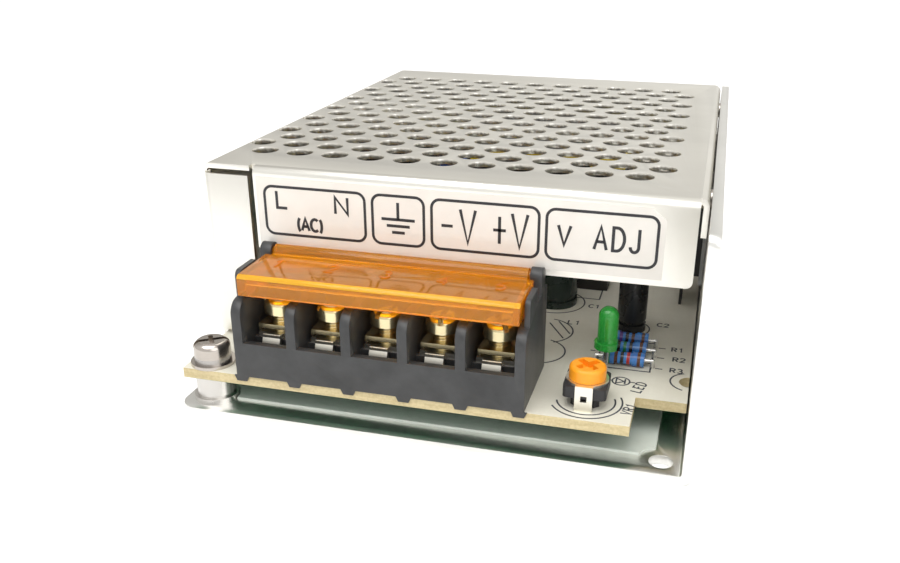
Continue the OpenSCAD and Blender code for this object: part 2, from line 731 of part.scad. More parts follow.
// A power device clamped flat against the right wall.
module wall_device(y) {
  x = x1 - chassis_t - 0.6;
  translate([x - 4.4, y - 5, dev_z - 4]) cube([4.4, 10, 9]);
  difference() {
    translate([x - 1.3, y - 5, dev_z + 5]) cube([1.3, 10, 6.4]);
    translate([x - 3, y, dev_z + 8.4]) rotate([0, 90, 0]) cylinder(r = 1.85, h = 6, $fn = 40);
  }
  for (s = [-2.54, 0, 2.54]) translate([x - 3, y + s - 0.4, top_z]) cube([0.5, 0.8, dev_z - 4 - top_z]);
}

module switching_transistor() color([0.12, 0.12, 0.13]) {
  wall_device(dev_y[1]);
}

module output_rectifier() color([0.12, 0.12, 0.13]) {
  wall_device(dev_y[0]);
}

module thermal_pads() color([0.6, 0.6, 0.58]) {
  for (y = dev_y) translate([x1 - chassis_t - 0.6, y - 6.5, dev_z - 5]) cube([0.6, 13, 16.4]);
}

// Spring strips that press the power devices to the wall, hooked under the cover's flange.
module device_clips() color([0.72, 0.73, 0.74]) {
  x = x1 - chassis_t - 5;
  for (y = dev_y) {
    translate([x - 0.8, y - 3, dev_z - 3]) cube([0.8, 6, 15.2]);
    translate([x - 0.8, y - 3, dev_z + 11.4]) cube([5.8, 6, 0.8]);
  }
}

module control_chip() color([0.1, 0.1, 0.1]) {
  translate([core_x + core_w / 2 - 2, y1 - 20, top_z]) dual_in_line(4);
}

module optocoupler() color([0.13, 0.13, 0.13]) {
  translate([core_x - 6, y1 - 26, top_z]) dual_in_line(2);
}

// Plastic dual in-line package with two rows of bent legs.
module dual_in_line(pins) {
  len = pins * 2.54;
  translate([-len / 2, -3.2, 0.8]) difference() {
    cube([len, 6.4, 3.3]);
    translate([0, 3.2, 2.8]) cylinder(r = 0.9, h = 2, $fn = 32);
  }
  for (i = [0 : pins - 1], s = [-1, 1]) translate([(i + 0.5) * 2.54 - len / 2, s * 3.8, 0]) {
    translate([-0.6, -0.15, 0]) cube([1.2, 0.3, 2.6]);
    translate([-0.6, s > 0 ? -0.8 : 0, 2.3]) cube([1.2, 0.8, 0.3]);
  }
}

chassis();
perforated_cover();
cover_screws();
front_label();
insulating_sheet();
circuit_board();
board_standoffs();
board_screws();
board_spring_washers();
board_flat_washers();
terminal_block();
terminal_contacts();
terminal_cover();
terminal_screw(0);  // terminal_screw_1
terminal_screw(1);  // terminal_screw_2
terminal_screw(2);  // terminal_screw_3
terminal_screw(3);  // terminal_screw_4
terminal_screw(4);  // terminal_screw_5
clamp_washer(0);  // clamp_washer_1
clamp_washer(1);  // clamp_washer_2
clamp_washer(2);  // clamp_washer_3
clamp_washer(3);  // clamp_washer_4
clamp_washer(4);  // clamp_washer_5
trimmer_base();
trimmer_plate();
trimmer_rotor();
status_led();
led_leads();
resistor(0);  // resistor_1
resistor(1);  // resistor_2
resistor(2);  // resistor_3
feedback_capacitor();
output_capacitors();
output_choke_core();
output_choke_winding();
transformer_core();
transformer_bobbin();
transformer_winding();
transformer_tape();
bulk_capacitor();
line_choke_core();
line_choke_windings();
film_capacitor();
disc_capacitor();
fuse_tube();
fuse_caps();
inrush_thermistor();
bridge_rectifier();
switching_transistor();
output_rectifier();
device_clips();
thermal_pads();
control_chip();
optocoupler();
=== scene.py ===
# Looks for an enclosed switching power supply: materials, print, threads, softened edges,
# floor, light and camera. Lengths in the dictionaries are millimetres unless a note says so.
import math

import bmesh
import bpy
import numpy as np
from mathutils import Matrix, Vector


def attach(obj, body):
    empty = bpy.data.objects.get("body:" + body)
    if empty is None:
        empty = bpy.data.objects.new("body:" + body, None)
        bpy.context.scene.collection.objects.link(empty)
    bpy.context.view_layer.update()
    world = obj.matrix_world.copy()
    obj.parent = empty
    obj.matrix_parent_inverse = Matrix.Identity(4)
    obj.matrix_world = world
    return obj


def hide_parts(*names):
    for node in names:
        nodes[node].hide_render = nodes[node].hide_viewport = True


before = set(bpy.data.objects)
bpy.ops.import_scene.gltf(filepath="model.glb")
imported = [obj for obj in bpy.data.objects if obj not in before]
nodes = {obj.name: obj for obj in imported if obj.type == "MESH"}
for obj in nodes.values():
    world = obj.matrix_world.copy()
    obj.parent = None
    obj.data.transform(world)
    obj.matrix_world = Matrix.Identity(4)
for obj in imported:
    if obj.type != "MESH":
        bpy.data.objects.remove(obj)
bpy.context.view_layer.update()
mm = 0.001
print("frame loaded:", len(nodes), "nodes")


# a socket that takes part in sums: each operator adds one Math node
class Val:
    def __init__(self, finish, socket):
        self.finish = finish
        self.socket = socket

    def joined(self, operation, *terms):
        return self.finish.add("ShaderNodeMath", {"operation": operation}, list(terms))

    def __add__(self, other):
        return self.joined("ADD", self, other)

    def __radd__(self, other):
        return self.joined("ADD", other, self)

    def __sub__(self, other):
        return self.joined("SUBTRACT", self, other)

    def __rsub__(self, other):
        return self.joined("SUBTRACT", other, self)

    def __mul__(self, other):
        return self.joined("MULTIPLY", self, other)

    def __rmul__(self, other):
        return self.joined("MULTIPLY", other, self)

    def above(self, limit):
        return self.joined("GREATER_THAN", self, limit)

    def below(self, limit):
        return self.joined("LESS_THAN", self, limit)

    def size(self):
        return self.joined("ABSOLUTE", self)


# one material: every node but the sums above comes from add()
class Finish:
    def __init__(self, name):
        self.material = bpy.data.materials.new(name)
        self.material.use_nodes = True
        self.tree = self.material.node_tree
        self.tree.nodes.clear()

    # makes a node, sets its settings, then fills its sockets by name or place
    def add(self, kind, settings=None, inputs=None, out=0):
        node = self.tree.nodes.new(kind)
        for key, value in (settings or {}).items():
            setattr(node, key, value)
        pairs = inputs.items() if isinstance(inputs, dict) else enumerate(inputs or [])
        for key, value in pairs:
            self.fill(node.inputs[key], value)
        return Val(self, node.outputs[out]) if len(node.outputs) else None

    def fill(self, socket, value):
        if isinstance(value, Val):
            self.tree.links.new(value.socket, socket)
        elif socket.type == "RGBA" and len(value) == 3:
            socket.default_value = (*value, 1)
        else:
            socket.default_value = value

    # the piece's own coordinates in millimetres, stretched by scale
    def place(self, scale=(1, 1, 1)):
        raw = self.add("ShaderNodeTexCoord", out=3)
        return self.add("ShaderNodeMapping", None, {"Vector": raw,
                                                    "Scale": [s / mm for s in scale]})

    # one of the coordinates x, y, z in millimetres
    def axis(self, which):
        return self.add("ShaderNodeSeparateXYZ", None, [self.place()], out=which)

    def noise(self, scale, stretch=(1, 1, 1), detail=3.0, rough=0.55):
        return self.add("ShaderNodeTexNoise", None, {"Vector": self.place(stretch), "Scale": scale,
                                                    "Detail": detail, "Roughness": rough})

    # value taken linearly from one range to another, held at the ends
    def ranged(self, value, low, high, toLow, toHigh):
        return self.add("ShaderNodeMapRange", None, [value, low, high, toLow, toHigh])

    def mixed(self, factor, first, second, blend="MIX"):
        return self.add("ShaderNodeMix", {"data_type": "RGBA", "blend_type": blend},
                        {0: factor, 6: first, 7: second}, out=2)

    def bumped(self, height, depth, strength=1.0):
        return self.add("ShaderNodeBump", None,
                        {"Strength": strength, "Distance": depth * mm, "Height": height})

    # the shader itself; sockets by name, and the output
    def shade(self, **sockets):
        named = {key.replace("_", " "): value for key, value in sockets.items()}
        shader = self.add("ShaderNodeBsdfPrincipled", None, named)
        self.add("ShaderNodeOutputMaterial", None, {"Surface": shader})
        return self.material


# rolled or plated metal: colour and gloss drift in long streaks, with a faint grain in the bump
def metalFinish(name, colour, rough, streak=(0.04, 1, 0.04), grain=3.0, drift=0.03, depth=0.0008):
    f = Finish(name)
    cloud = f.noise(0.07, detail=4)
    lines = f.noise(grain, stretch=streak, detail=2)
    darker = tuple(c * (1 - 2.2 * drift) for c in colour)
    base = f.mixed(f.ranged(cloud, 0.35, 0.65, 0, 1), colour, darker)
    gloss = f.ranged(cloud * 0.6 + lines * 0.4, 0.3, 0.7, rough * 0.92, rough * 1.12)
    return f.shade(Base_Color=base, Metallic=1.0, Roughness=gloss, Normal=f.bumped(lines, depth))


# moulded or coated plastic: fine pitting in the bump, a soft drift of tone and gloss
def plasticFinish(name, colour, rough, depth=0.01, grain=9.0, drift=0.12, coat=0.0, **extra):
    f = Finish(name)
    cloud = f.noise(0.25, detail=4)
    pits = f.noise(grain, detail=2)
    lighter = tuple(min(1, c * (1 + drift) + 0.004) for c in colour)
    darker = tuple(c * (1 - drift) for c in colour)
    base = f.mixed(f.ranged(cloud, 0.3, 0.7, 0, 1), darker, lighter)
    gloss = f.ranged(pits * 0.5 + cloud * 0.5, 0.35, 0.65, rough * 0.85, rough * 1.15)
    return f.shade(Base_Color=base, Roughness=gloss, Coat_Weight=coat,
                   Normal=f.bumped(pits, depth), **extra)


# bare laminate: pale face above, green lacquer below, sawn yellow edge between, weave in the bump
def boardFinish(b):
    f = Finish("boardLaminate")
    height = f.axis(2)
    cloud = f.noise(0.12, detail=5)
    lengthwise = f.noise(2.2, stretch=(1, 0.12, 1), detail=2)
    fibres = lengthwise * 0.5 + f.noise(2.2, stretch=(0.12, 1, 1)) * 0.5
    face = f.mixed(f.ranged(cloud, 0.35, 0.68, 0, 1), b["face"], b["faceShade"])
    face = f.mixed(f.ranged(fibres, 0.42, 0.62, 0, 0.35), face, b["faceShade"])
    edge = f.mixed(f.ranged(fibres, 0.4, 0.6, 0, 1), b["edge"], b["edgeShade"])
    green = f.mixed(f.ranged(cloud, 0.4, 0.6, 0, 1), b["lacquer"], b["lacquerShade"])
    side = f.mixed(height.above(b["top"] - 0.02), edge, face)
    base = f.mixed(height.below(b["bottom"] + 0.02), side, green)
    gloss = f.ranged(height, b["bottom"], b["bottom"] + 0.05, 0.22, 0.5)
    return f.shade(Base_Color=base, Roughness=gloss, Normal=f.bumped(fibres, 0.02))


# lacquered film resistor: a blue body with painted rings placed by their distance from its middle
def resistorFinish(name, r):
    f = Finish(name)
    along = f.axis(0) - r["middle"]
    cloud = f.noise(0.8, detail=3)
    base = f.mixed(f.ranged(cloud, 0.35, 0.65, 0, 1), r["body"], r["bodyShade"])
    for place, colour in r["rings"]:
        inRing = (along - place).size().below(r["ringWidth"] / 2)
        base = f.mixed(inRing, base, colour)
    isWire = along.size().above(r["bodyLength"] / 2 + 0.02)
    base = f.mixed(isWire, base, r["wire"])
    gloss = f.ranged(cloud, 0.3, 0.7, 0.2, 0.34)
    return f.shade(Base_Color=base, Metallic=isWire, Roughness=gloss, Coat_Weight=0.35,
                   Normal=f.bumped(cloud, 0.03))


# capacitor can in a shrunk sleeve: aluminium shows only on the flat top
def canFinish(name, c):
    f = Finish(name)
    onTop = f.axis(2).above(c["top"] - 0.015)
    cloud = f.noise(0.35, detail=3)
    sleeve = f.mixed(f.ranged(cloud, 0.35, 0.65, 0, 1), c["sleeve"], c["sleeveShade"])
    base = f.mixed(onTop, sleeve, c["metal"])
    gloss = f.ranged(cloud, 0.3, 0.7, 0.2, 0.34)
    return f.shade(Base_Color=base, Metallic=onTop, Roughness=gloss,
                   Normal=f.bumped(f.noise(1.6, stretch=(1, 1, 0.15)), 0.03))


# wound tape: yellow film with a faint edge line every layer
def tapeFinish(name, colour, pitch):
    f = Finish(name)
    cloud = f.noise(0.2, detail=3)
    wave = f.add("ShaderNodeTexWave", {"bands_direction": "Z"},
                 {"Vector": f.place(), "Scale": 0.314 / pitch, "Distortion": 0.6, "Detail": 1.0})
    base = f.mixed(f.ranged(cloud, 0.35, 0.65, 0, 1), colour, tuple(c * 0.86 for c in colour))
    return f.shade(Base_Color=base, Roughness=0.28, Coat_Weight=0.2, Normal=f.bumped(wave, 0.03))


# clear amber moulding with painted light: a painted highlight turns its front top edge into a bright
# yellow line of colour and glow, and the whole piece glows faintly
def amberFinish(a):
    f = Finish("amberPlastic")
    cloud = f.noise(0.25, detail=4)
    # painted highlight: the band along the front top edge takes a brighter yellow and a strong glow
    paintedHighlightMask = f.axis(1).below(a["edgeY"]) * f.axis(2).above(a["edgeZ"])
    base = f.mixed(f.ranged(cloud, 0.3, 0.7, 0, 1), a["body"], a["shade"])
    base = f.mixed(paintedHighlightMask, base, a["edge"])
    # painted glow: the body emits a faint amber light everywhere, and the edge band a strong one
    light = f.mixed(paintedHighlightMask, a["paintedBodyGlow"], a["paintedHighlightGlow"])
    return f.shade(Base_Color=base, Roughness=f.ranged(cloud, 0.3, 0.7, 0.09, 0.13), IOR=1.45,
                   Transmission_Weight=0.8, Emission_Color=light, Emission_Strength=1.0,
                   Normal=f.bumped(cloud, 0.01))


# the edge colour and its glow paint a highlight on the cover; the faint body glow is painted light as
# well
amberLook = {"edgeY": -52.4, "edgeZ": 22.9, "body": (1.0, 0.46, 0.02), "shade": (0.96, 0.40, 0.015),
             "edge": (1.0, 0.66, 0.05), "paintedBodyGlow": (0.035, 0.012, 0.0), "paintedHighlightGlow": (0.42, 0.22, 0.01)}
boardLook = {"top": 7.45, "bottom": 5.85, "face": (0.78, 0.755, 0.65),
             "faceShade": (0.70, 0.67, 0.565),
             "edge": (0.62, 0.52, 0.30), "edgeShade": (0.50, 0.41, 0.22),
             "lacquer": (0.015, 0.16, 0.06), "lacquerShade": (0.01, 0.10, 0.04)}
resistorLook = {"middle": 27.05, "bodyLength": 6.2, "ringWidth": 0.5, "body": (0.05, 0.23, 0.62),
                "bodyShade": (0.035, 0.15, 0.48), "wire": (0.75, 0.74, 0.72)}
ringColours = {"brown": (0.10, 0.03, 0.01), "black": (0.01, 0.01, 0.012),
               "red": (0.45, 0.02, 0.015),
               "green": (0.02, 0.20, 0.06), "violet": (0.10, 0.03, 0.22)}
resistorRings = [["green", "brown", "black", "red", "brown"],
                 ["brown", "black", "green", "black", "brown"],
                 ["red", "violet", "black", "brown", "brown"]]
ringPlaces = [-2.35, -1.2, -0.25, 0.7, 2.3]
canLook = {"feedback": {"top": 18.45, "sleeve": (0.012, 0.013, 0.015),
                        "sleeveShade": (0.02, 0.022, 0.024)},
           "output": {"top": 23.45, "sleeve": (0.012, 0.026, 0.022),
                      "sleeveShade": (0.02, 0.036, 0.03)},
           "bulk": {"top": 32.45, "sleeve": (0.014, 0.014, 0.018),
                    "sleeveShade": (0.024, 0.024, 0.03)}}
canMetal = (0.72, 0.72, 0.71)

finishes = {
    "chassisSheet": metalFinish("chassisSheet", (0.88, 0.875, 0.845), 0.3, streak=(1, 0.03, 0.03)),
    "coverSheet": metalFinish("coverSheet", (0.90, 0.88, 0.82), 0.32, streak=(0.03, 1, 0.03)),
    "zincSteel": metalFinish("zincSteel", (0.62, 0.57, 0.52), 0.2, streak=(1, 1, 1), drift=0.12),
    "springSteel": metalFinish("springSteel", (0.52, 0.50, 0.48), 0.3, streak=(1, 1, 1),
                               drift=0.12),
    "standoffMetal": metalFinish("standoffMetal", (0.68, 0.66, 0.63), 0.28, streak=(1, 1, 0.05)),
    "platedContact": metalFinish("platedContact", (0.93, 0.90, 0.80), 0.34, streak=(1, 0.1, 1)),
    "tinnedWire": metalFinish("tinnedWire", (0.80, 0.79, 0.77), 0.24, streak=(1, 1, 0.1)),
    # terminal screws and washers: a warm nickel colour, yellowed by painted amber light from the cover
    # above
    "nickelScrewPaintedAmberLight": metalFinish("nickelScrewPaintedAmberLight", (0.90, 0.78, 0.48), 0.22, streak=(1, 1, 1), drift=0.1),
    "copperWire": metalFinish("copperWire", (0.72, 0.30, 0.13), 0.26, streak=(1, 1, 1), drift=0.1),
    "labelFilm": plasticFinish("labelFilm", (0.76, 0.73, 0.68), 0.16, depth=0.002, drift=0.03,
                               coat=0.4),
    "printingInk": plasticFinish("printingInk", (0.018, 0.018, 0.022), 0.42, depth=0.002,
                                 drift=0.2),
    "boardInk": plasticFinish("boardInk", (0.035, 0.038, 0.05), 0.5, depth=0.002, drift=0.4),
    "insulationFilm": plasticFinish("insulationFilm", (0.66, 0.70, 0.64), 0.3, depth=0.003,
                                    drift=0.04),
    "boardLaminate": boardFinish(boardLook),
    "blackMoulding": plasticFinish("blackMoulding", (0.036, 0.037, 0.038), 0.4, depth=0.012,
                                   drift=0.25),
    "amberPlastic": amberFinish(amberLook),
    "blackCeramic": plasticFinish("blackCeramic", (0.018, 0.018, 0.02), 0.5, depth=0.01),
    "orangePlastic": plasticFinish("orangePlastic", (0.92, 0.33, 0.012), 0.32, depth=0.006),
    "greenLens": plasticFinish("greenLens", (0.05, 0.52, 0.08), 0.12, depth=0.002, drift=0.08,
                               Transmission_Weight=0.6, IOR=1.5),
    "powderCore": plasticFinish("powderCore", (0.70, 0.60, 0.12), 0.45),
    "ferrite": plasticFinish("ferrite", (0.035, 0.035, 0.038), 0.5, depth=0.03, grain=4.0),
    "bobbinPlastic": plasticFinish("bobbinPlastic", (0.02, 0.018, 0.016), 0.4),
    "yellowTape": tapeFinish("yellowTape", (0.86, 0.66, 0.03), 0.7),
    "yellowBox": plasticFinish("yellowBox", (0.80, 0.58, 0.06), 0.36),
    "blueCoating": plasticFinish("blueCoating", (0.02, 0.09, 0.42), 0.3, depth=0.03, grain=3.0,
                                 coat=0.3),
    "darkGreenCoating": plasticFinish("darkGreenCoating", (0.015, 0.07, 0.045), 0.35, depth=0.03,
                                      grain=3.0),
    "fuseGlass": plasticFinish("fuseGlass", (0.93, 0.95, 0.94), 0.04, depth=0.001, drift=0.01,
                               Transmission_Weight=1.0, IOR=1.45),
    "chipBlack": plasticFinish("chipBlack", (0.018, 0.018, 0.018), 0.48, depth=0.015),
    "greyPad": plasticFinish("greyPad", (0.36, 0.37, 0.37), 0.6, depth=0.02),
}
for name, look in canLook.items():
    finishes[name + "Can"] = canFinish(name + "Can", {**look, "metal": canMetal})
for i, colours in enumerate(resistorRings):
    rings = [(place, ringColours[c]) for place, c in zip(ringPlaces, colours)]
    finishes[f"resistorBlue{i + 1}"] = resistorFinish(f"resistorBlue{i + 1}",
                                                      {**resistorLook, "rings": rings})

nodeFinish = {
    "chassis": "chassisSheet", "perforated_cover": "coverSheet", "cover_screws": "zincSteel",
    "front_label": "labelFilm", "insulating_sheet": "insulationFilm",
    "circuit_board": "boardLaminate",
    "board_standoffs": "standoffMetal", "board_screws": "zincSteel",
    "board_spring_washers": "springSteel",
    "board_flat_washers": "zincSteel", "terminal_block": "blackMoulding",
    "terminal_contacts": "platedContact", "terminal_cover": "amberPlastic",
    "trimmer_base": "blackCeramic", "trimmer_plate": "platedContact",
    "trimmer_rotor": "orangePlastic",
    "status_led": "greenLens", "led_leads": "tinnedWire", "feedback_capacitor": "feedbackCan",
    "output_capacitors": "outputCan", "output_choke_core": "powderCore",
    "output_choke_winding": "copperWire",
    "transformer_core": "ferrite", "transformer_bobbin": "bobbinPlastic",
    "transformer_winding": "yellowTape", "transformer_tape": "yellowTape",
    "bulk_capacitor": "bulkCan",
    "line_choke_core": "ferrite", "line_choke_windings": "copperWire",
    "film_capacitor": "yellowBox",
    "disc_capacitor": "blueCoating", "fuse_tube": "fuseGlass", "fuse_caps": "tinnedWire",
    "inrush_thermistor": "darkGreenCoating", "bridge_rectifier": "chipBlack",
    "switching_transistor": "chipBlack", "output_rectifier": "chipBlack",
    "device_clips": "springSteel",
    "thermal_pads": "greyPad", "control_chip": "chipBlack", "optocoupler": "chipBlack",
}
for i in range(1, 6):
    nodeFinish[f"terminal_screw_{i}"] = nodeFinish[f"clamp_washer_{i}"] = "nickelScrewPaintedAmberLight"
for i in range(1, 4):
    nodeFinish[f"resistor_{i}"] = f"resistorBlue{i}"


# gives an object one finish on every slot it has
def dress(obj, finish):
    if not obj.data.materials:
        obj.data.materials.append(None)
    for i in range(len(obj.data.materials)):
        obj.data.materials[i] = finishes[finish]


for name, finish in nodeFinish.items():
    dress(nodes[name], finish)
print("finishes given:", len(nodeFinish))


# a new object from arrays of points (mm) and faces, on a CAD body, with a finish and a slot
def makePiece(name, points, faces, body, finish, smooth=False):
    mesh = bpy.data.meshes.new(name)
    mesh.from_pydata((np.asarray(points, float) * mm).tolist(), [],
                     [tuple(map(int, f)) for f in faces])
    mesh.validate()
    mesh.polygons.foreach_set("use_smooth", [smooth] * len(mesh.polygons))
    obj = bpy.data.objects.new(name, mesh)
    bpy.context.scene.collection.objects.link(obj)
    mesh.materials.append(finishes[finish])
    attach(obj, body)
    return obj


# lengths in metres, angles in degrees
softening = {"mergeGap": 2e-6, "flatAngle": 0.6, "edgeAngle": 35, "segments": 2}


# a copy of a CAD node with its triangles merged and its edges rounded by a small bevel
def softened(node, name, body, slot, width):
    obj = bpy.data.objects.new(name, nodes[node].data.copy())
    bpy.context.scene.collection.objects.link(obj)
    shape = bmesh.new()
    shape.from_mesh(obj.data)
    bmesh.ops.remove_doubles(shape, verts=shape.verts, dist=softening["mergeGap"])
    bmesh.ops.dissolve_limit(shape, angle_limit=math.radians(softening["flatAngle"]),
                             verts=shape.verts, edges=shape.edges, delimit={"NORMAL"})
    shape.to_mesh(obj.data)
    shape.free()
    obj.data.polygons.foreach_set("use_smooth", [True] * len(obj.data.polygons))
    bevel = obj.modifiers.new("softEdges", "BEVEL")
    bevel.width = width * mm
    bevel.segments = softening["segments"]
    bevel.limit_method = "ANGLE"
    bevel.angle_limit = math.radians(softening["edgeAngle"])
    bevel.miter_outer = "MITER_ARC"
    bevel.harden_normals = True
    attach(obj, body)
    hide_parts(node)
    return obj


# ribbon along each stroke: two rows of points offset by half the width along mitred normals,
# repeated at both heights, closed into a thin solid
def strokeSolid(strokes, width, lift, thick):
    points, faces = [], []
    for stroke in strokes:
        p = np.asarray(stroke, float)
        closed = len(p) > 2 and np.allclose(p[0], p[-1])
        if closed:
            p = p[:-1]
        ahead = np.roll(p, -1, 0) - p
        if not closed:
            ahead[-1] = ahead[-2]
        ahead /= np.linalg.norm(ahead, axis=1)[:, None]
        behind = np.roll(ahead, 1, 0)
        if not closed:
            behind[0] = ahead[0]
        normal = np.stack([-(ahead + behind)[:, 1], (ahead + behind)[:, 0]], 1)
        normal /= np.linalg.norm(normal, axis=1)[:, None]
        square = np.stack([-ahead[:, 1], ahead[:, 0]], 1)
        reach = width / 2 / np.clip((normal * square).sum(1), 0.5, 1)[:, None]
        left, right = p + normal * reach, p - normal * reach
        n, first = len(p), sum(len(q) for q in points)
        rows = [np.column_stack([side, np.full(n, z)]) for side, z in
                ((left, lift + thick), (right, lift + thick), (right, lift), (left, lift))]
        points.append(np.stack(rows, 1).reshape(-1, 3))
        count = n if closed else n - 1
        a = np.arange(count)[:, None] * 4 + first
        b = (np.arange(count)[:, None] + 1) % n * 4 + first
        k = np.arange(4)[None]
        m = (k + 1) % 4
        faces.append(np.stack([a + k, a + m, b + m, b + k], 2).reshape(-1, 4))
        if not closed:
            faces.append(np.array([[0, 3, 2, 1], [4 * n - 4, 4 * n - 3, 4 * n - 2,
                                                  4 * n - 1]]) + first)
    return np.concatenate(points), np.concatenate(faces)


# points on an arc of an ellipse from one angle to another, in degrees
def arc(cx, cy, rx, ry, start, end, count=14):
    a = np.radians(np.linspace(start, end, count))
    return np.column_stack([cx + rx * np.cos(a), cy + ry * np.sin(a)])


# rectangle with round corners: four quarter arcs joined into one closed line
def roundBox(x0, y0, x1, y1, r):
    corners = [(x1 - r, y1 - r, 0), (x0 + r, y1 - r, 90), (x0 + r, y0 + r, 180),
               (x1 - r, y0 + r, 270)]
    line = np.concatenate([arc(cx, cy, r, r, a, a + 90, 8) for cx, cy, a in corners])
    return np.vstack([line, line[:1]])


# strokes of the few signs that are used, one unit high
signs = {
    "L": [[(0, 1), (0, 0), (0.5, 0)]],
    "N": [[(0, 0), (0, 1), (0.56, 0), (0.56, 1)]],
    "A": [[(0, 0), (0.3, 1), (0.6, 0)], [(0.11, 0.34), (0.49, 0.34)]],
    "C": [arc(0.33, 0.5, 0.33, 0.5, 48, 312)],
    "V": [[(0, 1), (0.28, 0), (0.56, 1)]],
    "D": [np.vstack([[(0, 0), (0, 1), (0.18, 1)], arc(0.18, 0.5, 0.36, 0.5, 80, -80),
                     [(0.18, 0), (0, 0)]])],
    "J": [np.vstack([[(0.4, 1)], arc(0.2, 0.22, 0.2, 0.22, 0, -180)])],
    "E": [[(0.46, 1), (0, 1), (0, 0), (0.46, 0)], [(0, 0.52), (0.38, 0.52)]],
    "R": [np.vstack([[(0, 0), (0, 1), (0.26, 1)], arc(0.26, 0.75, 0.24, 0.25, 80, -80),
                     [(0, 0.5)]]),
          [(0.24, 0.5), (0.5, 0)]],
    "(": [arc(0.34, 0.45, 0.3, 0.68, 125, 235)],
    ")": [arc(-0.14, 0.45, 0.3, 0.68, 55, -55)],
    "-": [[(0, 0.48), (0.42, 0.48)]],
    "+": [[(0, 0.48), (0.46, 0.48)], [(0.23, 0.08), (0.23, 0.88)]],
    "1": [[(0.06, 0.78), (0.26, 1), (0.26, 0)]],
    "2": [np.vstack([arc(0.24, 0.74, 0.24, 0.26, 170, -30), [(0, 0), (0.5, 0)]])],
    "3": [np.vstack([arc(0.22, 0.76, 0.22, 0.24, 150, -80),
                     arc(0.22, 0.26, 0.26, 0.26, 80, -150)])],
    "4": [[(0.4, 0), (0.4, 1), (0, 0.3), (0.54, 0.3)]],
    "5": [np.vstack([[(0.46, 1), (0.08, 1), (0.04, 0.56)],
                     arc(0.22, 0.32, 0.26, 0.32, 120, -140)])],
}


# a word as strokes: signs side by side, scaled to width and height, turned and moved
def word(text, x, y, height, stretch=1.0, gap=0.3, turn=0.0):
    strokes, pen = [], 0.0
    turned = np.array([[math.cos(turn), math.sin(turn)], [-math.sin(turn), math.cos(turn)]])
    for sign in text:
        if sign == " ":
            pen += 0.45
            continue
        lines = [np.asarray(s, float) for s in signs[sign]]
        wide = max(l[:, 0].max() for l in lines)
        strokes += [((l + [pen, 0]) * [height * stretch, height]) @ turned + [x, y] for l in lines]
        pen += wide + gap
    return strokes


# turns (across, up, out) into row axes for a plate facing the front at that depth
def onFront(points, depth):
    return np.column_stack([points[:, 0], depth - points[:, 2], points[:, 1]])


# each word is text, x, y, height, stretch and gap between signs
labelPrint = {"face": -40.32, "lineWidth": 0.45, "boxWidth": 0.42, "thick": 0.02, "corner": 1.3,
              "boxes": [(-28.6, 25.7, -12.4, 33.2), (-11.2, 25.7, -3.2, 33.2),
                        (-2.0, 25.7, 14.0, 33.2), (15.1, 25.7, 30.8, 33.2)],
              "words": [("L", -26.6, 29.9, 2.6, 1.25, 0.3), ("N", -17.1, 29.7, 2.6, 1.35, 0.3),
                        ("(AC)", -23.4, 26.6, 1.9, 1.05, 0.16), ("-V", -0.5, 26.9, 5.1, 0.8, 0.28),
                        ("+V", 7.3, 26.9, 5.1, 0.8, 0.22), ("V", 16.8, 28.0, 2.9, 1.1, 0.3),
                        ("ADJ", 22.0, 27.8, 3.4, 0.86, 0.3)],
              "earth": [[(-7.2, 32.2), (-7.2, 29.6)], [(-9.8, 29.6), (-4.6, 29.6)],
                        [(-9.0, 28.6), (-5.4, 28.6)], [(-8.2, 27.6), (-6.2, 27.6)]]}


# boxes, and words with the earth sign, as two thin solids stood up on the label's face
def makeLabelPrint(d):
    boxes = [roundBox(*b, d["corner"]) for b in d["boxes"]]
    marks = [stroke for item in d["words"] for stroke in word(*item)] + d["earth"]
    for name, strokes, wide in (("labelBoxes", boxes, d["boxWidth"]),
                                ("labelMarks", marks, d["lineWidth"])):
        points, faces = strokeSolid(strokes, wide, 0.0, d["thick"])
        makePiece(name, onFront(points, d["face"]), faces, "case", "printingInk")


# each arc is its middle, two radii, two angles and a count; each word as on the label, then its turn
boardPrint = {"face": 7.45, "lineWidth": 0.26, "thick": 0.015,
              "arcs": [(12.3, -12.3, 5.4, 5.4, 0, 360, 49), (12.6, -25.2, 5.0, 5.0, -60, 78, 30),
                       (13.0, -33.2, 4.6, 4.6, -80, 70, 30), (23.1, -47.7, 4.2, 4.2, -168, 20, 30),
                       (23.1, -47.7, 5.2, 5.2, -150, 24, 34), (27.3, -40.4, 1.3, 1.3, 0, 360, 25),
                       (26.75, -20.5, 3.1, 3.1, 0, 360, 37), (37.3, -38.2, 2.9, 2.9, 110, 250, 20)],
              "lines": [[(13.2, -22.0), (16.4, -27.6)], [(14.6, -21.0), (17.2, -25.6)],
                        [(25.4, -40.4), (26.0, -40.4)], [(28.6, -40.4), (29.4, -40.4)],
                        [(26.6, -41.2), (26.6, -39.6), (27.8, -40.4), (26.6, -41.2)],
                        [(27.9, -41.2), (27.9, -39.6)],
                        [(15.8, -5.0), (20.0, -5.0), (20.0, -9.5), (15.8, -9.5)]],
              "rows": (-27.3, -30.9, -34.8), "rowBox": (22.9, 31.2, 1.5),
              "rowTicks": [(31.9, 33.0), (22.2, 21.4)],
              "words": [("L1", 16.2, -21.6, 1.5, 1.0, 0.3, 0.0),
                        ("C1", 18.6, -13.6, 1.4, 1.0, 0.3, 0.0),
                        ("C2", 31.0, -18.7, 1.4, 1.0, 0.3, 0.0),
                        ("R1", 34.0, -28.0, 1.4, 1.0, 0.3, 0.0),
                        ("R2", 34.4, -31.6, 1.4, 1.0, 0.3, 0.0),
                        ("R3", 34.2, -35.5, 1.4, 1.0, 0.3, 0.0),
                        ("LED", 30.4, -43.4, 1.5, 1.0, 0.3, math.radians(76)),
                        ("VR1", 29.6, -50.4, 1.4, 1.0, 0.3, math.radians(76))]}


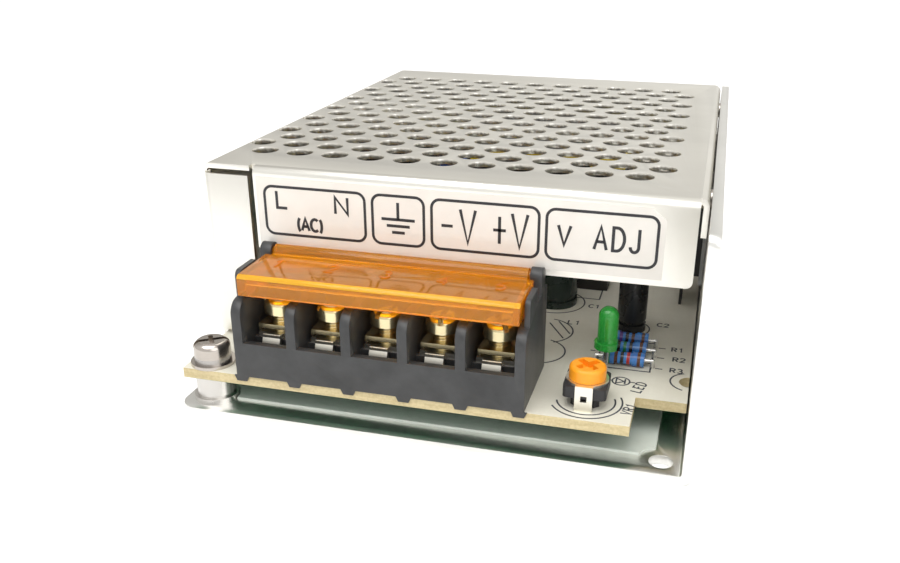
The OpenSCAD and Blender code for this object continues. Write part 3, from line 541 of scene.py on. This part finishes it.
# part outlines and references on the board: arcs, lines, a box with two ticks per resistor, words
def makeBoardPrint(d):
    strokes = [arc(*item) for item in d["arcs"]] + d["lines"]
    x0, x1, half = d["rowBox"]
    for y in d["rows"]:
        strokes += [[(start, y), (end, y)] for start, end in d["rowTicks"]]
        strokes += [[(x0, y + half), (x1, y + half), (x1, y - half), (x0, y - half),
                     (x0, y + half)]]
    for item in d["words"]:
        strokes += word(*item)
    points, faces = strokeSolid(strokes, d["lineWidth"], d["face"], d["thick"])
    makePiece("boardPrint", points, faces, "case", "boardInk")


# raised digits on the hinged cover, one over each way
lidDigits = {"top": 23.45, "sunk": 0.02, "thick": 0.12, "lineWidth": 0.3, "height": 2.6,
             "stretch": 0.95,
             "firstX": -24.4, "step": 8.5, "y": -48.4}


def makeLidDigits(d):
    strokes = []
    for i in range(5):
        strokes += word(str(i + 1), d["firstX"] + d["step"] * i, d["y"], d["height"], d["stretch"])
    points, faces = strokeSolid(strokes, d["lineWidth"], d["top"] - d["sunk"], d["thick"])
    makePiece("lidDigits", points, faces, "terminal_lid", "amberPlastic")


makeLabelPrint(labelPrint)
makeBoardPrint(boardPrint)
makeLidDigits(lidDigits)
print("print and raised digits made")


threadShape = {"core": 1.42, "crest": 1.62, "pitch": 0.5, "low": 9.9, "high": 16.2, "y": -47.2,
               "firstX": -23.75, "step": 8.5, "perTurn": 24}


# a ridge of triangular section wound round the shank: angle along, four section points across
def makeThread(i, d):
    turns = (d["high"] - d["low"]) / d["pitch"]
    t = np.linspace(0, 1, int(turns * d["perTurn"]))[:, None]
    fade = np.clip(np.minimum(t, 1 - t) * turns, 0.02, 1)
    radius = d["core"] + (d["crest"] - d["core"]) * np.array([[0, 1, 1, 0]]) * fade
    height = d["low"] + t * (d["high"] - d["low"]) + d["pitch"] * np.array([[-0.42, -0.08, 0.08,
                                                                             0.42]]) * fade
    angle = 2 * np.pi * turns * t + 0 * height
    x = d["firstX"] + d["step"] * i
    points = np.stack([x + radius * np.cos(angle), d["y"] + radius * np.sin(angle), height],
                      2).reshape(-1, 3)
    n = len(t)
    a = np.arange(n - 1)[:, None] * 4
    k = np.arange(4)[None]
    m = (k + 1) % 4
    faces = np.stack([a + k, a + 4 + k, a + 4 + m, a + m], 2).reshape(-1, 4)
    ends = np.array([[0, 1, 2, 3], [4 * n - 1, 4 * n - 2, 4 * n - 3, 4 * n - 4]])
    makePiece(f"screwThread{i + 1}", points, np.vstack([faces, ends]), f"screw_{i + 1}",
              "nickelScrewPaintedAmberLight", smooth=True)


for i in range(5):
    makeThread(i, threadShape)
print("threads made")


# bright sloping front face of each contact, turned up to the light
contactTongue = {"firstX": -24.25, "step": 8.5, "width": 2.8, "thick": 0.15,
                 "lowY": -50.95, "lowZ": 11.7, "highY": -50.3, "highZ": 13.25}


# a thin slab per way between a low front line and a higher back line
def makeTongues(d):
    x = d["firstX"] + d["step"] * np.arange(5)[:, None]
    half, thick = d["width"] / 2, d["thick"]
    across = x + np.array([[-half, half, half, -half, -half, half, half, -half]])
    back = np.array([d["lowY"], d["lowY"], d["highY"], d["highY"]])
    up = np.array([d["lowZ"], d["lowZ"], d["highZ"], d["highZ"]])
    y = np.tile(np.concatenate([back, back + thick]), (5, 1))
    z = np.tile(np.concatenate([up, up - thick / 2]), (5, 1))
    points = np.stack([across, y, z], 2).reshape(-1, 3)
    one = np.array([[0, 1, 2, 3], [7, 6, 5, 4], [0, 4, 5, 1], [1, 5, 6, 2], [2, 6, 7, 3],
                    [3, 7, 4, 0]])
    faces = (one[None] + 8 * np.arange(5)[:, None, None]).reshape(-1, 4)
    makePiece("contactTongues", points, faces, "case", "platedContact")


makeTongues(contactTongue)
print("contact faces made")


# node, name of the copy, body, slot and bevel width
softPieces = [("chassis", "chassisSheetMetal", "case", "chassis_sheet", 0.07),
              ("perforated_cover", "perforatedSheetMetal", "case", "cover_sheet", 0.05),
              ("terminal_block", "terminalMoulding", "case", "black_moulding", 0.08),
              ("terminal_cover", "hingedCover", "terminal_lid", "amber_plastic", 0.12)]
for item in softPieces:
    softened(*item)
print("edges softened")


floorLook = {"radius": 4.0, "sides": 96, "paper": (0.96, 0.96, 0.96), "lift": (0.14, 0.14, 0.14)}


# a wide disc under the object: points round a circle; a little light is added for the camera only,
# so that the paper meets the background and still holds a shadow
def makeFloor(d):
    a = np.linspace(0, 2 * np.pi, d["sides"] + 1)[:-1]
    points = np.column_stack([d["radius"] * np.cos(a), d["radius"] * np.sin(a), 0 * a])
    mesh = bpy.data.meshes.new("floor")
    mesh.from_pydata(points.tolist(), [], [tuple(range(d["sides"]))])
    obj = bpy.data.objects.new("floor", mesh)
    bpy.context.scene.collection.objects.link(obj)
    f = Finish("floorPaper")
    seen = f.add("ShaderNodeLightPath", out=0)
    lift = f.mixed(seen, (0, 0, 0), d["lift"])
    mesh.materials.append(f.shade(Base_Color=d["paper"], Roughness=0.9, Emission_Color=lift,
                                  Emission_Strength=1.0))


studio = {"skyFront": (1.0, 0.99, 0.97), "skyLeft": (0.50, 0.485, 0.455),
          "skyRight": (1.0, 0.985, 0.94),
          "skyStrength": 0.86,
          "lamps": [{"name": "keyLamp", "at": (-0.14, -0.32, 0.78), "size": 0.8, "power": 4.6},
                    {"name": "fillLamp", "at": (0.55, -0.55, 0.5), "size": 0.8, "power": 2.0}]}


# sky: bright in front, darker to the left behind; disc lamps aimed at the origin; the camera sees white
def makeStudio(s):
    world = bpy.data.worlds.new("studioSky")
    bpy.context.scene.world = world
    world.use_nodes = True
    tree = world.node_tree
    tree.nodes.clear()
    sky = Finish.__new__(Finish)
    sky.tree = tree
    toward = sky.add("ShaderNodeTexCoord", out=0)
    across = sky.add("ShaderNodeSeparateXYZ", None, [toward], out=0)
    back = sky.add("ShaderNodeSeparateXYZ", None, [toward], out=1)
    behind = sky.mixed(sky.ranged(across, -0.75, 0.15, 0, 1), s["skyLeft"], s["skyRight"])
    shade = sky.mixed(sky.ranged(back, -0.2, 0.5, 0, 1), s["skyFront"], behind)
    soft = sky.add("ShaderNodeBackground", None, {"Color": shade, "Strength": s["skyStrength"]})
    plain = sky.add("ShaderNodeBackground", None, {"Color": (1, 1, 1), "Strength": 1.0})
    seen = sky.add("ShaderNodeLightPath", out=0)
    both = sky.add("ShaderNodeMixShader", None, [seen, soft, plain])
    sky.add("ShaderNodeOutputWorld", None, {"Surface": both})
    for lamp in s["lamps"]:
        data = bpy.data.lights.new(lamp["name"], "AREA")
        data.shape = "DISK"
        data.size = lamp["size"]
        data.energy = lamp["power"]
        obj = bpy.data.objects.new(lamp["name"], data)
        bpy.context.scene.collection.objects.link(obj)
        aim = Vector(lamp["at"])
        obj.location = aim
        obj.rotation_mode = "QUATERNION"
        obj.rotation_quaternion = (-aim).to_track_quat("-Z", "Y")


cameraSet = {"at": (0.03643, -0.16446, 0.07144), "right": (0.96787, 0.25138, 0.00629),
             "up": (-0.10905, 0.39707, 0.91129), "ahead": (-0.22658, 0.88269, -0.41172),
             "lens": 36.895, "sensor": 36.0, "shiftX": -0.0269, "shiftY": 0.0509,
             "nearest": 0.005}


# columns of the camera's matrix are its right, up and back directions and its place, in metres
def makeCamera(c):
    data = bpy.data.cameras.new("studioCamera")
    obj = bpy.data.objects.new("studioCamera", data)
    bpy.context.scene.collection.objects.link(obj)
    data.lens = c["lens"]
    data.sensor_width = c["sensor"]
    data.shift_x = c["shiftX"]
    data.shift_y = c["shiftY"]
    data.clip_start = c["nearest"]
    axes = np.eye(4)
    axes[:3, 0], axes[:3, 1], axes[:3, 2] = c["right"], c["up"], -np.array(c["ahead"])
    axes[:3, 3] = c["at"]
    obj.matrix_world = Matrix(axes.tolist())
    bpy.context.scene.camera = obj


makeFloor(floorLook)
makeStudio(studio)
makeCamera(cameraSet)
bpy.context.scene.view_settings.view_transform = "Standard"
print("floor, light and camera set")
